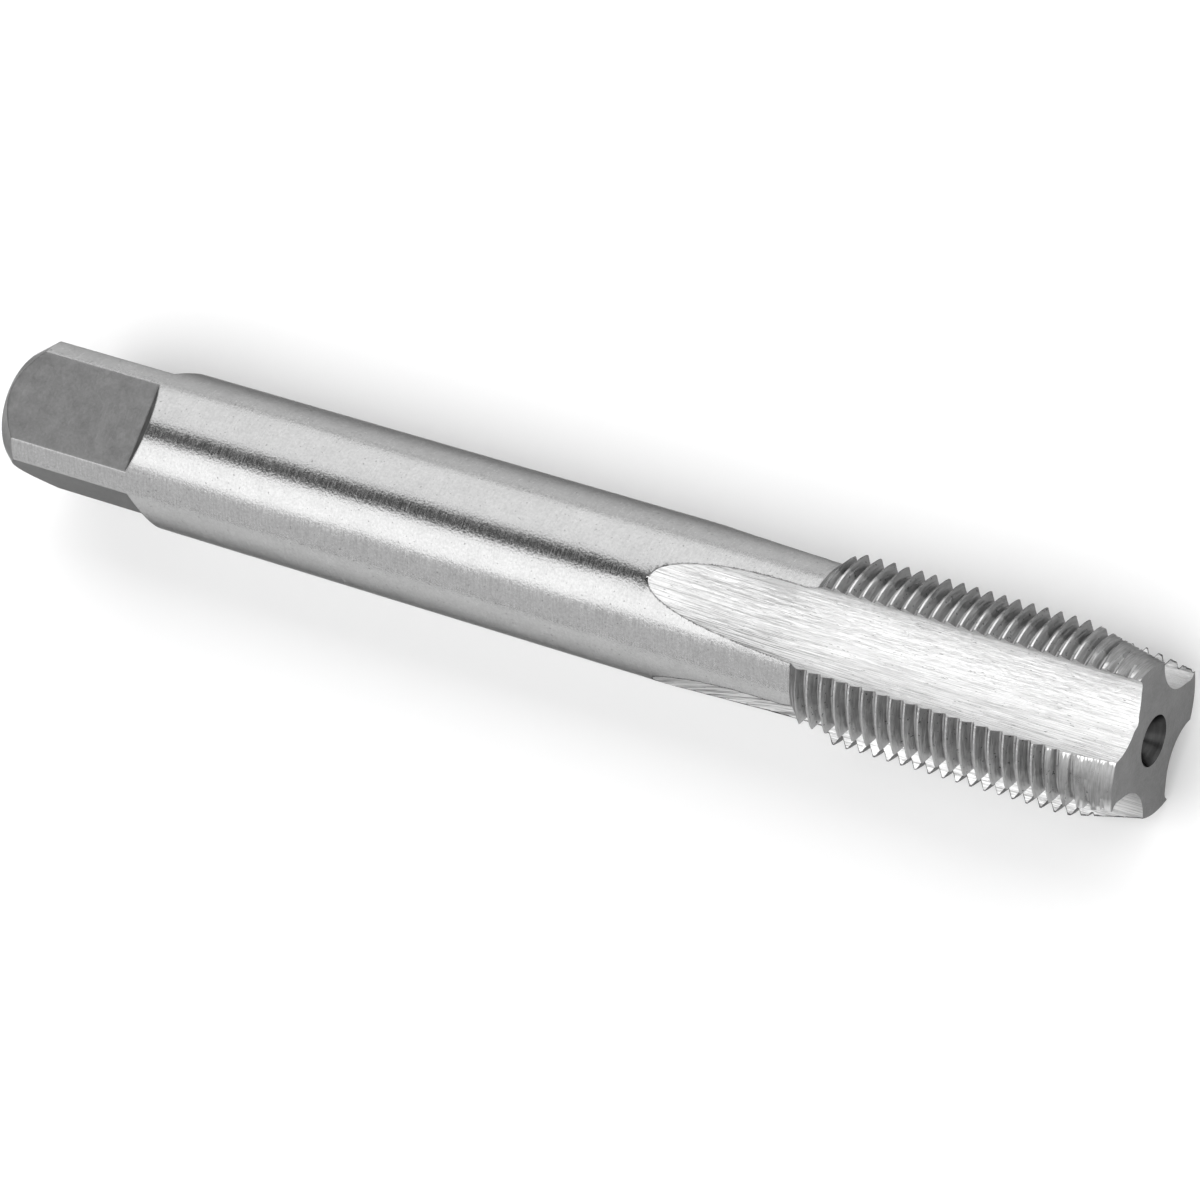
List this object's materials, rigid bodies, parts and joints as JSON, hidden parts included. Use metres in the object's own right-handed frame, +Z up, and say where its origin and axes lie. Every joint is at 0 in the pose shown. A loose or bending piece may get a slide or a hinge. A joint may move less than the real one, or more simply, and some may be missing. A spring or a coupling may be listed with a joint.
{
  "type": "thread tap",
  "caption": "Straight-flute tap that cuts an internal fine-pitch metric thread: threaded end with relieved lead chamfer, round shank, square driving end.",
  "frame": {"origin": "middle of the tap's length, on the surface that it lies on", "axes": "+X along the tap's axis towards the cutting tip, +Z up, with one flute facing straight up and one straight down"},
  "size_m": [0.087, 0.0116, 0.0117],
  "materials": {
    "ground_steel": "ground, bright, uncoated"
  },
  "bodies": {
    "root": {"tap_body": "ground_steel"}
  },
  "joints": []
}
